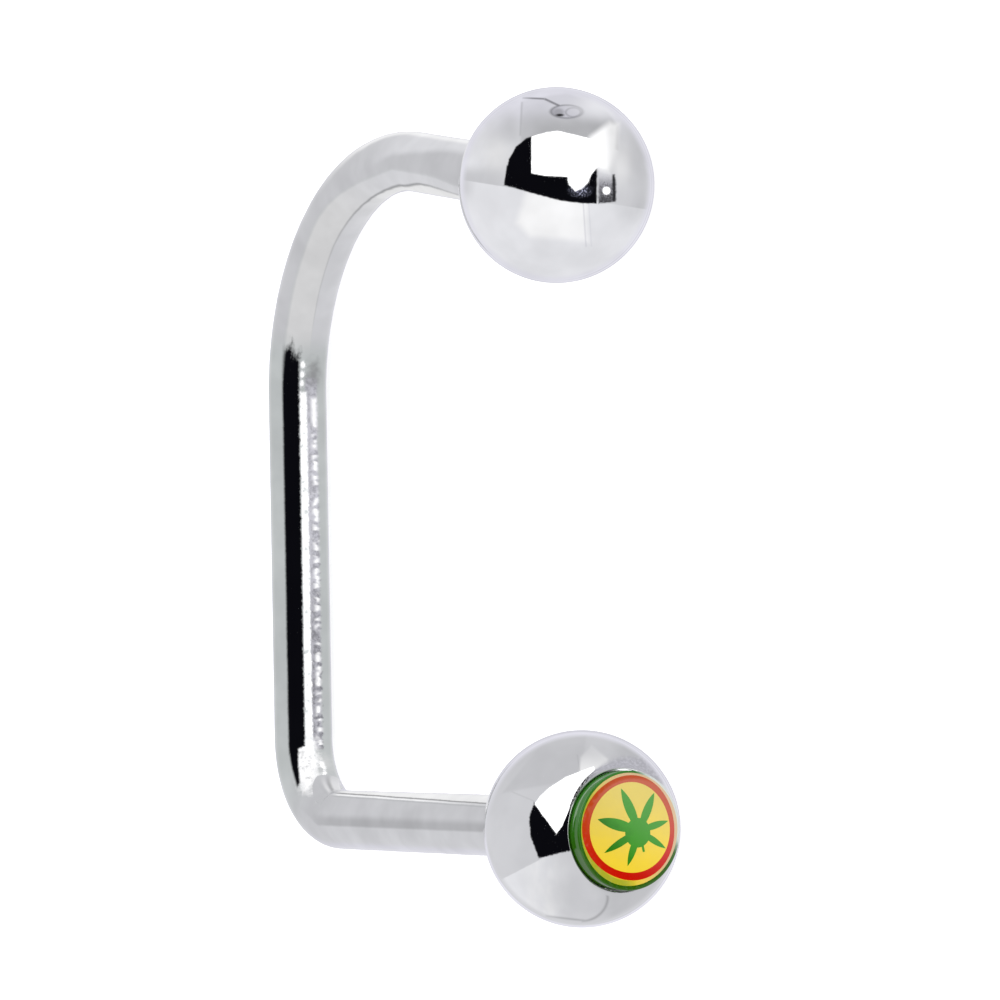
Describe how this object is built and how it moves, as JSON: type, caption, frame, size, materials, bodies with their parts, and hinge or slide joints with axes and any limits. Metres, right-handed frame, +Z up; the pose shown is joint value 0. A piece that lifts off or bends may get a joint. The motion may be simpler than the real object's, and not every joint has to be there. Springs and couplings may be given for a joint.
{
  "type": "lippy loop labret",
  "caption": "Bent wire labret that hooks over the lip, with a plain steel ball on the loop's end and a ball with a leaf picture disc on the lower arm.",
  "frame": {"origin": "middle of the labret's outline on the floor that it lies on", "axes": "+Y from the lower ball to the top ball, +X from the back of the wire to the balls, +Z up from the floor, across the wire's plane"},
  "size_m": [0.0179, 0.0214, 0.005],
  "materials": {
    "wire_steel": "polished surgical steel wire, satin on the bends, with faint drawing marks on the straight back",
    "ball_steel": "mirror-polished surgical steel",
    "disc_green": "glossy green edge",
    "disc_yellow": "glossy yellow field",
    "disc_red": "glossy red ring",
    "disc_leaf_green": "glossy green leaf"
  },
  "bodies": {
    "wire": {"bar": "wire_steel"},
    "top_ball": {"top_ball": "ball_steel"},
    "lower_ball": {"lower_ball": "ball_steel", "disc_rim": "disc_green", "disc_field": "disc_yellow", "disc_ring": "disc_red", "disc_leaf": "disc_leaf_green"}
  },
  "joints": [
    {"name": "top_ball_unscrew", "type": "slide", "parent": "wire", "child": "top_ball", "axis": [0.9723, -0.2046, 0.1132], "range_m": [0, 0.012]},
    {"name": "lower_ball_unscrew", "type": "slide", "parent": "wire", "child": "lower_ball", "axis": [0.9925, -0.0402, 0.1155], "range_m": [0, 0.012]}
  ]
}
